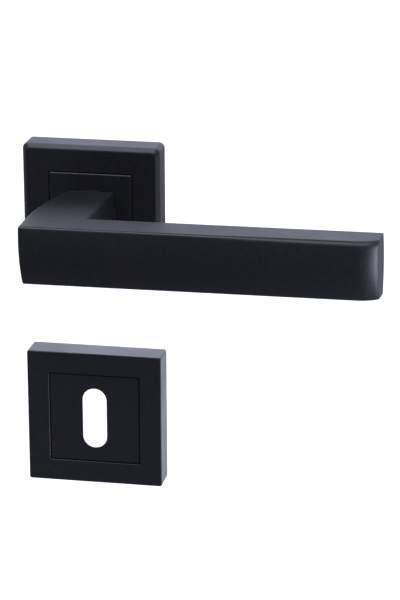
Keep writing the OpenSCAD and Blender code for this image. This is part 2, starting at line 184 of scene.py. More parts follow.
class Shader:
    """Builds one procedural material."""

    def __init__(self, name):
        self.material = bpy.data.materials.new(name)
        self.material.use_nodes = True
        self.tree = self.material.node_tree
        self.surface = self.tree.nodes["Principled BSDF"]
        self.place = self.tree.nodes.new("ShaderNodeTexCoord").outputs["Object"]

    def link(self, source, target):
        self.tree.links.new(source, target)

    def noise(self, scale, detail=2.0, roughness=0.5, stretch=None):
        texture = self.tree.nodes.new("ShaderNodeTexNoise")
        texture.inputs["Scale"].default_value = scale
        texture.inputs["Detail"].default_value = detail
        texture.inputs["Roughness"].default_value = roughness
        source = self.place
        if stretch:
            mapping = self.tree.nodes.new("ShaderNodeMapping")
            mapping.inputs["Scale"].default_value = stretch
            self.link(source, mapping.inputs["Vector"])
            source = mapping.outputs["Vector"]
        self.link(source, texture.inputs["Vector"])
        return texture.outputs["Fac"]

    def ramp(self, source, stops):
        """Colours a value; stops are positions and colours."""
        node = self.tree.nodes.new("ShaderNodeValToRGB")
        for element, (position, colour) in zip(node.color_ramp.elements, stops):
            element.position, element.color = position, (*colour, 1)
        self.link(source, node.inputs["Fac"])
        return node.outputs["Color"]

    def spread(self, source, low, high, start=0.3, end=0.7):
        """Turns the values from start to end into low to high."""
        node = self.tree.nodes.new("ShaderNodeMapRange")
        node.inputs["From Min"].default_value = start
        node.inputs["From Max"].default_value = end
        node.inputs["To Min"].default_value = low
        node.inputs["To Max"].default_value = high
        self.link(source, node.inputs["Value"])
        return node.outputs["Result"]

    def blend(self, factor, first, second):
        node = self.tree.nodes.new("ShaderNodeMix")
        node.data_type = "RGBA"
        for socket, source in ((node.inputs[0], factor), (node.inputs[6], first), (node.inputs[7], second)):
            self.link(source, socket)
        return node.outputs[2]

    def flat(self, colour):
        node = self.tree.nodes.new("ShaderNodeRGB")
        node.outputs[0].default_value = (*colour, 1)
        return node.outputs[0]

    def edge_mask(self):
        """Rises from 0 to 1 within a short reach of an edge."""
        rounded = self.tree.nodes.new("ShaderNodeBevel")
        rounded.inputs["Radius"].default_value = EDGE_WEAR_AND_HIGHLIGHT_REACH
        plain = self.tree.nodes.new("ShaderNodeNewGeometry")
        compare = self.tree.nodes.new("ShaderNodeVectorMath")
        compare.operation = "DOT_PRODUCT"
        self.link(rounded.outputs["Normal"], compare.inputs[0])
        self.link(plain.outputs["Normal"], compare.inputs[1])
        return self.spread(compare.outputs["Value"], 1.0, 0.0, *EDGE_WEAR_AND_HIGHLIGHT_RANGE)

    def edge_wear_and_highlight_colour(self, tone, edge_colour):
        """Shows a lighter colour along the edges and the tone elsewhere; on metal it is wear, on the black
        coat a painted highlight.
        """
        self.link(self.blend(self.edge_mask(), tone, self.flat(edge_colour)), self.surface.inputs["Base Color"])

    def add(self, first, second):
        node = self.tree.nodes.new("ShaderNodeMath")
        node.operation = "ADD"
        self.link(first, node.inputs[0])
        self.link(second, node.inputs[1])
        return node.outputs[0]

    def bump(self, layers):
        """Chains bumps; each layer is a height source and its height in metres."""
        normal = None
        for height, distance in layers:
            node = self.tree.nodes.new("ShaderNodeBump")
            node.inputs["Strength"].default_value = 1.0
            node.inputs["Distance"].default_value = distance
            self.link(height, node.inputs["Height"])
            if normal:
                self.link(normal, node.inputs["Normal"])
            normal = node.outputs["Normal"]
        self.link(normal, self.surface.inputs["Normal"])

    def set(self, **values):
        for name, value in values.items():
            self.surface.inputs[name.replace("_", " ")].default_value = value


def powder_coat():
    s = Shader("powder_coat_black")
    grain = s.noise(2600, 3, 0.55)
    fleck = s.noise(900, 2, 0.6)
    broad = s.noise(45, 3, 0.5)
    peel = s.noise(420, 2, 0.45)
    dark = s.ramp(fleck, [(0.35, (0.0052, 0.0054, 0.0068)), (0.66, (0.0086, 0.0089, 0.0112))])
    # The lighter colour along the coat's edges is a painted highlight standing in for light caught by the
    # rounded edges
    s.edge_wear_and_highlight_colour(dark, (0.016, 0.0165, 0.020))
    s.link(s.add(s.spread(grain, -0.05, 0.05), s.spread(broad, 0.40, 0.47)), s.surface.inputs["Roughness"])
    s.bump([(peel, 0.000010), (grain, 0.000012)])
    s.set(IOR=1.5, Specular_IOR_Level=0.25, Metallic=0.0)
    return s.material


def cast_zinc():
    s = Shader("cast_zinc")
    skin = s.noise(700, 4, 0.6)
    flow = s.noise(60, 3, 0.55, (1.0, 3.0, 1.0))
    tone = s.ramp(flow, [(0.3, (0.36, 0.37, 0.39)), (0.7, (0.50, 0.51, 0.53))])
    s.edge_wear_and_highlight_colour(tone, (0.66, 0.67, 0.68))
    s.link(s.spread(skin, 0.42, 0.64), s.surface.inputs["Roughness"])
    s.bump([(skin, 0.00003), (s.noise(2400, 2), 0.00001)])
    s.set(Metallic=1.0)
    return s.material


def plated_steel():
    s = Shader("plated_steel")
    mark = s.noise(900, 3, 0.6, (0.15, 1.0, 1.0))
    broad = s.noise(120, 3, 0.5)
    tone = s.ramp(broad, [(0.3, (0.50, 0.52, 0.55)), (0.7, (0.64, 0.65, 0.66))])
    s.edge_wear_and_highlight_colour(tone, (0.74, 0.74, 0.75))
    s.link(s.spread(mark, 0.24, 0.40), s.surface.inputs["Roughness"])
    s.bump([(mark, 0.000006)])
    s.set(Metallic=1.0)
    return s.material


def oiled_spring_steel():
    s = Shader("oiled_spring_steel")
    film = s.noise(260, 4, 0.6)
    line = s.noise(1800, 2, 0.5, (0.3, 1.0, 0.3))
    tone = s.ramp(film, [(0.32, (0.17, 0.175, 0.19)), (0.68, (0.27, 0.28, 0.30))])
    s.edge_wear_and_highlight_colour(tone, (0.40, 0.41, 0.42))
    s.link(s.spread(film, 0.24, 0.40), s.surface.inputs["Roughness"])
    s.bump([(line, 0.000005)])
    s.set(Metallic=1.0)
    return s.material


def filled_nylon():
    s = Shader("graphite_nylon")
    grain = s.noise(1500, 3, 0.6)
    tone = s.ramp(s.noise(300, 3), [(0.35, (0.006, 0.006, 0.007)), (0.65, (0.010, 0.010, 0.011))])
    s.link(tone, s.surface.inputs["Base Color"])
    s.link(s.spread(grain, 0.46, 0.60), s.surface.inputs["Roughness"])
    s.bump([(grain, 0.000012)])
    s.set(IOR=1.53)
    return s.material


MATERIALS = {
    "powder_black": powder_coat(),
    "zinc": cast_zinc(),
    "steel": plated_steel(),
    "spring_steel": oiled_spring_steel(),
    "nylon": filled_nylon(),
}


# Lever handle

GRIP_LOW, GRIP_HIGH = millimetres("lever_handle")
GRIP_TOP, GRIP_BOTTOM = GRIP_HIGH[2], GRIP_LOW[2]
GRIP_FRONT = GRIP_LOW[1]
SHANK_END = GRIP_HIGH[1]
GRIP_DEPTH, GRIP_LENGTH = 16.5, 123.4
# The grip leans toward the door about the middle of its left end
LEAN = math.radians(0.84)
LEAN_Y = GRIP_FRONT + GRIP_DEPTH / 2
LEAN_FADE = 6.0
GRIP_LEFT = GRIP_LOW[0] + GRIP_DEPTH / 2 * math.sin(LEAN)
GRIP_RIGHT = GRIP_LEFT + GRIP_LENGTH
# Crown radii and the heights of their middles, and the sweep at the free end
FRONT_RADIUS, FRONT_CROWN = 31.5, 4.7
BACK_RADIUS, BACK_CROWN = 27.0, -3.0
END_RADIUS, END_SWEEP = 11.1, 8.0
# The neck, from inside the grip to just short of the plate
NECK_GAP, NECK_ROOT = 0.3, 4.5
NECK_REAR = millimetres("lever_rose_insert")[0][1] - NECK_GAP
NECK_START = GRIP_FRONT + GRIP_DEPTH - NECK_ROOT
NECK_HALF_HEIGHT = 8.7
NECK_DRAW_RADIUS = 144.0
NECK_RIGHT = (7.25, 8.45)
# The grip's long front edges: the lower is even, the upper softens toward the free end
LOWER_EDGE, UPPER_EDGE, SOFT_START, SOFT_END = 0.8, (0.9, 1.8), 35.0, 95.0
LEFT_EDGE = (0.8, 1.0)
REAR_EDGE, END_EDGE, NECK_END_EDGE, NECK_RIGHT_EDGE = 0.4, 0.4, 0.25, 0.8
END_SLANT = 0.45
# Upright corners of the plan, which draw in with the edges above them
LEFT_CORNER, RIGHT_CORNER, RIGHT_REAR_CORNER, SMALLEST_CORNER = 0.7, 0.35, 0.4, 0.08
ELBOW_CORNER, NECK_REAR_CORNER = 0.45, 0.2
FILLET_DEPTHS = [0, 0.012, 0.05, 0.12, 0.21, 0.32, 0.45, 0.62, 0.85, 1.15, 1.5, 1.95, 2.5, 3.2]
WALL_LEVELS = 9
CORNER_STEPS = 5


def fillet_inset(depth, radius):
    """How far a rounded edge has drawn in at a depth below the face above it."""
    if depth >= radius:
        return 0.0
    return radius - math.sqrt(radius ** 2 - (radius - depth) ** 2)


def upper_edge(x):
    """Radius of the grip's upper front edge."""
    part = held((x - SOFT_START) / (SOFT_END - SOFT_START))
    return UPPER_EDGE[0] + (UPPER_EDGE[1] - UPPER_EDGE[0]) * part * part * (3 - 2 * part)


def front_y(x, z):
    """The grip's convex front, which sweeps back at the free end."""
    crown = FRONT_RADIUS - math.sqrt(FRONT_RADIUS ** 2 - (z - FRONT_CROWN) ** 2)
    past = max(0.0, x - (GRIP_RIGHT - END_SWEEP))
    return GRIP_FRONT + crown + END_RADIUS - math.sqrt(END_RADIUS ** 2 - past ** 2)


def back_y(z):
    return GRIP_FRONT + GRIP_DEPTH - BACK_RADIUS + math.sqrt(BACK_RADIUS ** 2 - (z - BACK_CROWN) ** 2)


SPLIT_TOP, SPLIT_BOTTOM = back_y(GRIP_TOP), back_y(GRIP_BOTTOM)


def local_top(y):
    """Height of the top face, which falls along the neck."""
    part = max(0.0, (y - SPLIT_TOP) / (NECK_REAR - SPLIT_TOP))
    return GRIP_TOP + (NECK_HALF_HEIGHT - GRIP_TOP) * part


def local_bottom(y):
    part = max(0.0, (y - SPLIT_BOTTOM) / (NECK_REAR - SPLIT_BOTTOM))
    return GRIP_BOTTOM + (-NECK_HALF_HEIGHT - GRIP_BOTTOM) * part


def neck_part(y):
    """0 where the neck starts and 1 at its rear end."""
    return held((y - NECK_START) / (NECK_REAR - NECK_START))


def left_x(y):
    run = max(0.0, y - NECK_START)
    return GRIP_LEFT + NECK_DRAW_RADIUS - math.sqrt(NECK_DRAW_RADIUS ** 2 - run ** 2)


def right_x(y):
    return NECK_RIGHT[0] + (NECK_RIGHT[1] - NECK_RIGHT[0]) * neck_part(y)


def rounded_corners(path, radii):
    """Replaces the flagged corners of a closed plan path with arcs of a fixed number of points."""
    rounded = []
    for k, point in enumerate(path):
        if k not in radii:
            rounded.append(point)
            continue
        here = Vector(point)
        before = (Vector(path[k - 1]) - here).normalized()
        after = (Vector(path[(k + 1) % len(path)]) - here).normalized()
        half = before.angle(after) / 2
        tangent = radii[k] / math.tan(half)
        centre = here + (before + after).normalized() * radii[k] / math.sin(half)
        start, end = here + before * tangent - centre, here + after * tangent - centre
        sweep = start.angle(end)
        for step in range(CORNER_STEPS + 1):
            part = step / CORNER_STEPS
            a, b = math.sin((1 - part) * sweep) / math.sin(sweep), math.sin(part * sweep) / math.sin(sweep)
            rounded.append(tuple(centre + start * a + end * b))
    return rounded


# Where the plan path has points between its corners
STATION_STEP = 4.6
END_GAPS = (11, 9, 7.5, 6.2, 5, 4, 3.1, 2.3, 1.6, 1.0)
FRONT_STATIONS = [GRIP_LEFT + STATION_STEP * k for k in range(1, 24)] + [GRIP_RIGHT - gap for gap in END_GAPS]
END_PARTS = (0.3, 0.65)
BACK_STATIONS = [GRIP_RIGHT - STATION_STEP * k for k in range(1, 22)]
NECK_RIGHT_STATIONS = [-44, -40, -36, -31, -26, -21, -16, -13]
NECK_END_STATIONS = [5, 1.5, -2, -5]
NECK_LEFT_STATIONS = [-15.5, -19, -23, -27, -31, -35, -39, -43]
GRIP_LEFT_STATION = -54


def plan_ring(height, depth):
    """One ring of the handle: depth below the top or above the bottom, or a height part way up the wall.

    Also gives the places in the ring of the two points where the neck meets the grip's back.
    """
    from_top = height == "top"
    from_bottom = height == "bottom"

    def z_at(y):
        if from_top:
            return local_top(y) - depth
        if from_bottom:
            return local_bottom(y) + depth
        margin = FILLET_DEPTHS[-1]
        low, high = local_bottom(y) + margin, local_top(y) - margin
        return low + (high - low) * height

    drop = depth if (from_top or from_bottom) else FILLET_DEPTHS[-1]
    grip_z = z_at(GRIP_FRONT)
    end, neck_end = fillet_inset(drop, END_EDGE), fillet_inset(drop, NECK_END_EDGE)
    neck_right = fillet_inset(drop, NECK_RIGHT_EDGE)
    back = back_y(grip_z) - fillet_inset(drop, REAR_EDGE)
    neck_back = NECK_REAR - neck_end

    def face_at(x):
        return fillet_inset(drop, LOWER_EDGE if from_bottom else upper_edge(x))

    def left_at(y):
        radius = LEFT_EDGE[0] + (LEFT_EDGE[1] - LEFT_EDGE[0]) * neck_part(y)
        return left_x(y) + fillet_inset(drop, radius)

    path = []
    corners = {}

    def corner(x, y, radius):
        corners[len(path)] = radius
        path.append((x, y))

    left_face = face_at(GRIP_LEFT)
    corner(left_at(GRIP_FRONT), front_y(GRIP_LEFT, grip_z) + left_face,
           max(SMALLEST_CORNER, LEFT_CORNER - left_face))
    path += [(x, front_y(x, grip_z) + face_at(x)) for x in FRONT_STATIONS]
    tip = front_y(GRIP_RIGHT - end, grip_z) + face_at(GRIP_RIGHT)
    corner(GRIP_RIGHT - END_SLANT - end, tip, max(SMALLEST_CORNER, RIGHT_CORNER - end))
    path += [(GRIP_RIGHT - END_SLANT * (1 - t) - end, tip + (back - tip) * t) for t in END_PARTS]
    corner(GRIP_RIGHT - end, back, max(SMALLEST_CORNER, RIGHT_REAR_CORNER - end))
    path += [(x, back) for x in BACK_STATIONS]
    elbow = len(path)
    corner(right_x(back) - neck_right, back, ELBOW_CORNER)
    path += [(right_x(y) - neck_right, y) for y in NECK_RIGHT_STATIONS]
    corner(right_x(NECK_REAR) - neck_right, neck_back, NECK_REAR_CORNER)
    path += [(x, neck_back) for x in NECK_END_STATIONS]
    corner(left_at(NECK_REAR), neck_back, NECK_REAR_CORNER)
    path += [(left_at(y), y) for y in NECK_LEFT_STATIONS]
    split = len(path)
    path += [(left_at(back), back), (left_at(GRIP_LEFT_STATION), GRIP_LEFT_STATION)]

    ring = []
    for x, y in rounded_corners(path, corners):
        share = LEAN * held(1 - (y - back) / LEAN_FADE)
        across = LEAN_Y - y if x > 0 else max(0.0, LEAN_Y - y)
        ring.append((x + share * across, y + share * (x - GRIP_LEFT), z_at(max(y, GRIP_FRONT))))

    def place_in_ring(k):
        return k + CORNER_STEPS * sum(flagged < k for flagged in corners)

    return ring, place_in_ring(elbow), place_in_ring(split)


def lever_body():
    """Grip and neck; their top and bottom faces are split where the neck leaves the grip."""
    plans = [plan_ring("top", depth) for depth in FILLET_DEPTHS]
    plans += [plan_ring(1 - k / WALL_LEVELS, 0) for k in range(1, WALL_LEVELS)]
    plans += [plan_ring("bottom", depth) for depth in reversed(FILLET_DEPTHS)]
    _, elbow, split = plans[0]
    points, faces = ring_skin([ring for ring, _, _ in plans])
    count = len(plans[0][0])
    for start in (0, len(points) - count):
        faces.append(tuple(start + i for i in [*range(elbow + 1), *range(split, count)]))
        faces.append(tuple(start + i for i in range(elbow, split + 1)))
    return mesh_object("lever_handle_body", points, faces)


SHANK_RADIUS, SHANK_FLAT, FLAT_START = 7.6, 6.2, -7.75
SHANK_OVERLAP, SHANK_CHAMFER, SHANK_SIDES = 1.2, 0.35, 96
GROOVE_FRONT, GROOVE_REAR, GROOVE_RADIUS = -0.4, 0.6, 7.0
SOCKET_HALF, SOCKET_END = 4.03, -40.0
GRUB_Y, GRUB_RADIUS, GRUB_MOUTH, GRUB_SIDES = -24.0, 3.0, 4.2, 48
# The grub hole's rings run from below the neck into the socket
GRUB_BELOW, GRUB_INSIDE, GRUB_CHAMFER = -14.0, -3.9, (-0.4, 0.45)


def shank_ring(radius, y, keyed=True):
    """A ring of the shank; a keyed one has flats at its top and bottom."""
    ring = []
    for x, z in circle_points(radius, SHANK_SIDES):
        if keyed and abs(z) > SHANK_FLAT:
            z = math.copysign(SHANK_FLAT, z)
            x = math.copysign(min(abs(x), math.sqrt(radius ** 2 - z ** 2)), x)
        ring.append((x, y, z))
    return ring


def lever_handle():
    body = lever_body()
    shank = loft("shank", [
        shank_ring(SHANK_RADIUS, NECK_REAR - SHANK_OVERLAP, keyed=False),
        shank_ring(SHANK_RADIUS, FLAT_START, keyed=False),
        shank_ring(SHANK_RADIUS, FLAT_START),
        shank_ring(SHANK_RADIUS, GROOVE_FRONT),
        shank_ring(GROOVE_RADIUS, GROOVE_FRONT),
        shank_ring(GROOVE_RADIUS, GROOVE_REAR),
        shank_ring(SHANK_RADIUS, GROOVE_REAR),
        shank_ring(SHANK_RADIUS, SHANK_END - SHANK_CHAMFER),
        shank_ring(SHANK_RADIUS - SHANK_CHAMFER, SHANK_END),
    ])
    apply_boolean(body, shank, "UNION")
    socket = block("socket", (-SOCKET_HALF, SOCKET_END, -SOCKET_HALF),
                   (SOCKET_HALF, SHANK_END + CLEARANCE, SOCKET_HALF))
    apply_boolean(body, socket, "DIFFERENCE")
    under = local_bottom(GRUB_Y)
    grub_rings = []
    for z, radius in ((GRUB_BELOW, GRUB_MOUTH), (under + GRUB_CHAMFER[0], GRUB_MOUTH),
                      (under + GRUB_CHAMFER[1], GRUB_RADIUS), (GRUB_INSIDE, GRUB_RADIUS)):
        grub_rings.append([(x, GRUB_Y + y, z) for x, y in circle_points(radius, GRUB_SIDES)])
    apply_boolean(body, loft("grub_hole", grub_rings), "DIFFERENCE")
    body.name = "lever_handle_shell"
    finish_piece(body, "lever", "powder_black", "lever_handle")


# Roses

SIDE_POINTS, CORNER_POINTS = 22, 8
COVER_FRONT, COVER_WALL = 1.6, 1.2
# The seat in a cover's front that its plate lies in
SEAT_HALF_GAP, SEAT_CORNER, PLATE_CORNER = 0.2, 0.35, 0.3
# Flat bevels as size and softness
SEAT_BEVEL = (0.20, 0.12)
PLATE_BEVEL = (0.24, 0.12)
BEVEL_TURN, BEVEL_STEPS = math.radians(45), 4
# Extra rings that keep each flat front level right up to its edges
HOLDING_GAPS = (0.1, 0.3)
# How a cover's wall starts at the door: inset, change of corner and distance from the door
FOOT = ((0.3, -0.2, 0.0), (0.09, 0.0, 0.09), (0.0, 0.0, 0.3))
WALL_PARTS = (0.25, 0.5, 0.75)
INNER_EDGE, INNER_CORNER, INNER_FLARE, FILLET_STEPS = 0.6, 1.2, 0.2, 4
# The notch in the lower wall for a lifting tool
NOTCH_HALF, NOTCH_DEPTH, NOTCH_RISE, NOTCH_ROUND = 3.5, 1.2, 0.6, 0.4
# The square whose points set the angles at which a hole's outline is drawn
RAY_SQUARE = (10, 0.5)


def square_outline(half, corner):
    """A rounded square in x and z with the same number of points whatever its size."""
    outline = []
    straight = half - corner
    for quarter in range(4):
        turn = quarter * math.pi / 2
        c, s = math.cos(turn), math.sin(turn)
        local = [(half, -straight + 2 * straight * k / SIDE_POINTS) for k in range(SIDE_POINTS)]
        for k in range(CORNER_POINTS):
            angle = math.pi / 2 * k / CORNER_POINTS
            local.append((straight + corner * math.cos(angle), straight + corner * math.sin(angle)))
        outline += [(x * c - z * s, x * s + z * c) for x, z in local]
    return outline


def slot_point(angle, width, height):
    """Where a ray from the middle meets an upright slot with round ends."""
    c, s = math.cos(angle), math.sin(angle)
    radius, offset = width / 2, (height - width) / 2
    if abs(c) > 1e-9:
        reach = radius / abs(c)
        if abs(reach * s) <= offset:
            return reach * c, reach * s
    up = abs(s)
    reach = up * offset + math.sqrt((up * offset) ** 2 - offset ** 2 + radius ** 2)
    return reach * c, reach * s


def hole_outline(width, height):
    angles = [math.atan2(z, x) for x, z in square_outline(*RAY_SQUARE)]
    return [slot_point(a, width, height) for a in angles]


def raised(outline, y, middle_z):
    return [(x, y, z + middle_z) for x, z in outline]


def bevel_profile(size, softness):
    """Inset and depth of points across a flat bevel with softened ends, from the side wall to the front."""
    reach = softness * math.tan(BEVEL_TURN / 2)
    profile = []
    for k in range(BEVEL_STEPS + 1):
        part = BEVEL_TURN * k / BEVEL_STEPS
        profile.append((softness * (1 - math.cos(part)), size + reach - softness * math.sin(part)))
    return profile + [(depth, inset) for inset, depth in reversed(profile)]


def bevel_reach(bevel):
    return bevel_profile(*bevel)[-1][0]


def quarter_turn():
    """Sines and cosines across a quarter of a circle."""
    turns = [math.pi / 2 * k / FILLET_STEPS for k in range(FILLET_STEPS + 1)]
    return [(math.sin(turn), math.cos(turn)) for turn in turns]


def edge_rings(half, corner, corner_front, front, bevel, middle_z):
    """Rings round a bevelled outer edge, from the side wall to just inside the front face."""
    rings = []
    reach = bevel_reach(bevel)
    for inset, depth in bevel_profile(*bevel):
        bend = corner + (corner_front - corner) * inset / reach
        rings.append(raised(square_outline(half - inset, bend), front + depth, middle_z))
    for gap in HOLDING_GAPS:
        rings.append(raised(square_outline(half - reach - gap, corner_front), front, middle_z))
    return rings


def rose_cover(name, node, insert_node, bevel, corner, corner_front, hole):
    """A hollow square shell with a seat for its plate and a notch in its lower wall."""
    low, high = millimetres(node)
    plate_low, plate_high = millimetres(insert_node)
    middle_z = (low[2] + high[2]) / 2
    half = (high[0] - low[0]) / 2
    front, seat = low[1], plate_high[1]
    seat_half = (plate_high[0] - plate_low[0]) / 2 + SEAT_HALF_GAP
    inside = half - COVER_WALL
    inner_front = front + COVER_FRONT
    rings = []

    def square(ring_half, ring_corner, y):
        rings.append(raised(square_outline(ring_half, ring_corner), y, middle_z))

    for inset, change, lift in FOOT:
        square(half - inset, corner + change, -lift)
    foot = FOOT[-1][2]
    for part in WALL_PARTS:
        square(half, corner, -foot + (front + sum(bevel) + foot) * part)
    rings += edge_rings(half, corner, corner_front, front, bevel, middle_z)
    for gap in reversed(HOLDING_GAPS):
        square(seat_half + bevel_reach(SEAT_BEVEL) + gap, SEAT_CORNER, front)
    for inset, depth in reversed(bevel_profile(*SEAT_BEVEL)):
        square(seat_half + inset, SEAT_CORNER, front + depth)
    square(seat_half, SEAT_CORNER, seat)
    rings.append(raised(hole_outline(*hole), seat, middle_z))
    rings.append(raised(hole_outline(*hole), inner_front, middle_z))
    for sine, cosine in quarter_turn():
        square(inside - INNER_EDGE * (1 - sine), INNER_CORNER, inner_front + INNER_EDGE * (1 - cosine))
    square(inside, INNER_CORNER, -INNER_FLARE)
    square(inside + INNER_FLARE, INNER_CORNER, 0.0)
    cover = loft(name, rings, closed=True)
    notch = block("notch", (-NOTCH_HALF, -NOTCH_DEPTH, low[2] - CLEARANCE),
                  (NOTCH_HALF, CLEARANCE, low[2] + COVER_WALL + NOTCH_RISE))
    rounding = notch.modifiers.new("round", "BEVEL")
    rounding.width = NOTCH_ROUND * MM
    rounding.segments = 3
    apply_boolean(cover, notch, "DIFFERENCE")
    finish_piece(cover, "trim", "powder_black", node)


def rose_insert(name, node, hole, lip):
    """A square plate with a round or slotted hole, whose front lip is rounded."""
    low, high = millimetres(node)
    middle_z = (low[2] + high[2]) / 2
    half = (high[0] - low[0]) / 2
    front, rear = low[1], high[1]
    width, height = hole
    rings = [raised(square_outline(half, PLATE_CORNER), rear, middle_z)]
    rings += edge_rings(half, PLATE_CORNER, PLATE_CORNER, front, PLATE_BEVEL, middle_z)

    def hole_ring(grow, y):
        rings.append(raised(hole_outline(width + grow, height + grow), y, middle_z))

    for gap in reversed(HOLDING_GAPS):
        hole_ring(2 * (lip + gap), front)
    for sine, cosine in quarter_turn():
        hole_ring(2 * lip * (1 - sine), front + lip * (1 - cosine))
    hole_ring(0, rear)
    finish_piece(loft(name, rings, closed=True), "trim", "powder_black", node)


# Fixings

SCREW_SIDES = 28
SCREW_PITCH = 1.6
SCREW_NECK, SCREW_THREAD, SCREW_ROOT = 1.9, 1.7, 1.22
SCREW_FRONT, SCREW_START, SCREW_END, SCREW_TAPER = -5.0, 0.2, 20.0, 4.0
SCREW_OFFSET = 16.0
# The thread: flat share of its root, length of its rise, rings a turn and gaps left at its end
SCREW_FLAT, SCREW_RISE, SCREW_RINGS = 0.35, 1.2, 9
SCREW_GAP, POINT_GAP = 0.3, 0.25
POINT_SHARE, POINT_POWER = 0.05, 0.8
# The recess as rings of a cross: y, half length and half width of each arm
RECESS = ((-5.6, 2.15, 0.58), (-3.7, 1.0, 0.38))


def triangle_wave(value, flat):
    """0 at the root and 1 at the crest, with a flat root."""
    part = abs((value % 1.0) * 2 - 1)
    return max(0.0, part - flat) / (1 - flat)


def screw_radius(y, angle):
    """A coarse thread that rises out of the shank and tapers to a point."""
    taper = SCREW_END - SCREW_TAPER
    wave = triangle_wave(y / SCREW_PITCH - angle / (2 * math.pi), SCREW_FLAT)
    rise = held((y - SCREW_START) / SCREW_RISE)
    fall = 1.0 if y < taper else max(POINT_SHARE, (SCREW_END - y) / (SCREW_END - taper))
    crest = SCREW_ROOT + (SCREW_THREAD - SCREW_ROOT) * wave * rise
    return crest * fall ** POINT_POWER


def threaded_ring(x, y, z, sides, radius_at):
    """A ring whose radius depends on the angle."""
    ring = []
    for side in range(sides):
        angle = 2 * math.pi * side / sides
        radius = radius_at(angle)
        ring.append((x + radius * math.cos(angle), y, z + radius * math.sin(angle)))
    return ring


def wood_screw_rings(x, z):
    rings = []
    profile = [(0.001, 0), (3.2, 0), (3.42, 0.05), (3.5, 0.18), (3.3, 0.45), (SCREW_NECK, 1.9),
               (SCREW_NECK, -SCREW_FRONT), (SCREW_ROOT, SCREW_START - SCREW_FRONT)]
    for radius, rise in profile:
        rings.append([(x + a, SCREW_FRONT + rise, z + b) for a, b in circle_points(radius, SCREW_SIDES)])
    steps = int((SCREW_END - SCREW_GAP) / SCREW_PITCH * SCREW_RINGS)
    for k in range(1, steps + 1):
        y = SCREW_START + (SCREW_END - POINT_GAP) * k / steps
        rings.append(threaded_ring(x, y, z, SCREW_SIDES, lambda angle: screw_radius(y, angle)))
    return rings


def join(objects, name):
    """One object from several, which are used up."""
    bm = bmesh.new()
    for obj in objects:
        bm.from_mesh(obj.data)
        bpy.data.objects.remove(obj)
    return bmesh_object(name, bm)


def cross_cutter(x, z):
    """A tapered cross that leaves a driver's recess in a screw head."""
    arms = []
    for turn in (math.pi / 4, 3 * math.pi / 4):
        c, s = math.cos(turn), math.sin(turn)
        rings = []
        for y, length, width in RECESS:
            corners = [(-length, -width), (length, -width), (length, width), (-length, width)]
            rings.append([(x + a * c - b * s, y, z + a * s + b * c) for a, b in corners])
        arms.append(loft("arm", rings))
    return arms


def wood_screws(name, node):
    """Two countersunk screws at opposite corners."""
    low, high = millimetres(node)
    middle_z = (low[2] + high[2]) / 2
    screws = []
    for offset in (-SCREW_OFFSET, SCREW_OFFSET):
        x, z = offset, middle_z - offset
        screw = loft("screw", wood_screw_rings(x, z))
        for arm in cross_cutter(x, z):
            apply_boolean(screw, arm, "DIFFERENCE")
        screws.append(screw)
    finish_piece(join(screws, name), "trim", "steel", node)


SLEEVE_SIDES = 40
SLEEVE_PITCH, SLEEVE_CREST, SLEEVE_ROOT = 0.7, 1.65, 2.0
SLEEVE_FRONT, SLEEVE_SHOULDER, SLEEVE_REAR = -5.9, -5.0, 7.0
SLEEVE_CHAMFER, SLEEVE_OFFSET = 0.35, 19.0
SLEEVE_FLAT, SLEEVE_RINGS = 0.2, 6


def sleeve_rings(x, z):
    """Flanged sleeve with a real thread inside, from the flange's bore round to the far end."""
    front, shoulder, rear = SLEEVE_FRONT, SLEEVE_SHOULDER, SLEEVE_REAR
    outer = [(2.1, front), (4.05, front), (4.2, front + 0.15), (4.2, shoulder - 0.02), (3.5, shoulder),
             (3.5, rear - SLEEVE_CHAMFER), (3.15, rear), (2.15, rear)]
    rings = [[(x + a, y, z + b) for a, b in circle_points(radius, SLEEVE_SIDES)] for radius, y in outer]
    length = rear - front - 2 * SLEEVE_CHAMFER
    steps = int(length / SLEEVE_PITCH * SLEEVE_RINGS)
    for k in range(steps + 1):
        y = rear - SLEEVE_CHAMFER - length * k / steps

        def thread(angle):
            wave = triangle_wave(y / SLEEVE_PITCH - angle / (2 * math.pi), SLEEVE_FLAT)
            return SLEEVE_CREST + (SLEEVE_ROOT - SLEEVE_CREST) * wave

        rings.append(threaded_ring(x, y, z, SLEEVE_SIDES, thread))
    return rings


def bolt_sleeves(name, node, upright):
    """Two sleeves, one above the other or side by side."""
    low, high = millimetres(node)
    middle_z = (low[2] + high[2]) / 2
    sleeves = []
    for offset in (-SLEEVE_OFFSET, SLEEVE_OFFSET):
        x, z = (0.0, middle_z + offset) if upright else (offset, middle_z)
        sleeves.append(loft("sleeve", sleeve_rings(x, z), closed=True))
    finish_piece(join(sleeves, name), "trim", "steel", node)


# Torsion spring

WIRE_RADIUS, WIRE_SIDES = 0.55, 20
SPRING_RADIUS, SPRING_TURNS, SPRING_PITCH, SPRING_BEND = 10.6, 1.7, 1.3, 1.0
SPRING_START, SPRING_REAR = 20.0, -3.65
LEG_END = 12.8
COIL_STEPS = 150
BEND_ANGLES = [15.0 * k for k in range(7)]
LEG_POINTS = len(BEND_ANGLES) + 1


def outward(degrees):
    return Vector((math.cos(math.radians(degrees)), 0, math.sin(math.radians(degrees))))


def onward(degrees):
    return Vector((math.sin(math.radians(degrees)), 0, -math.cos(math.radians(degrees))))


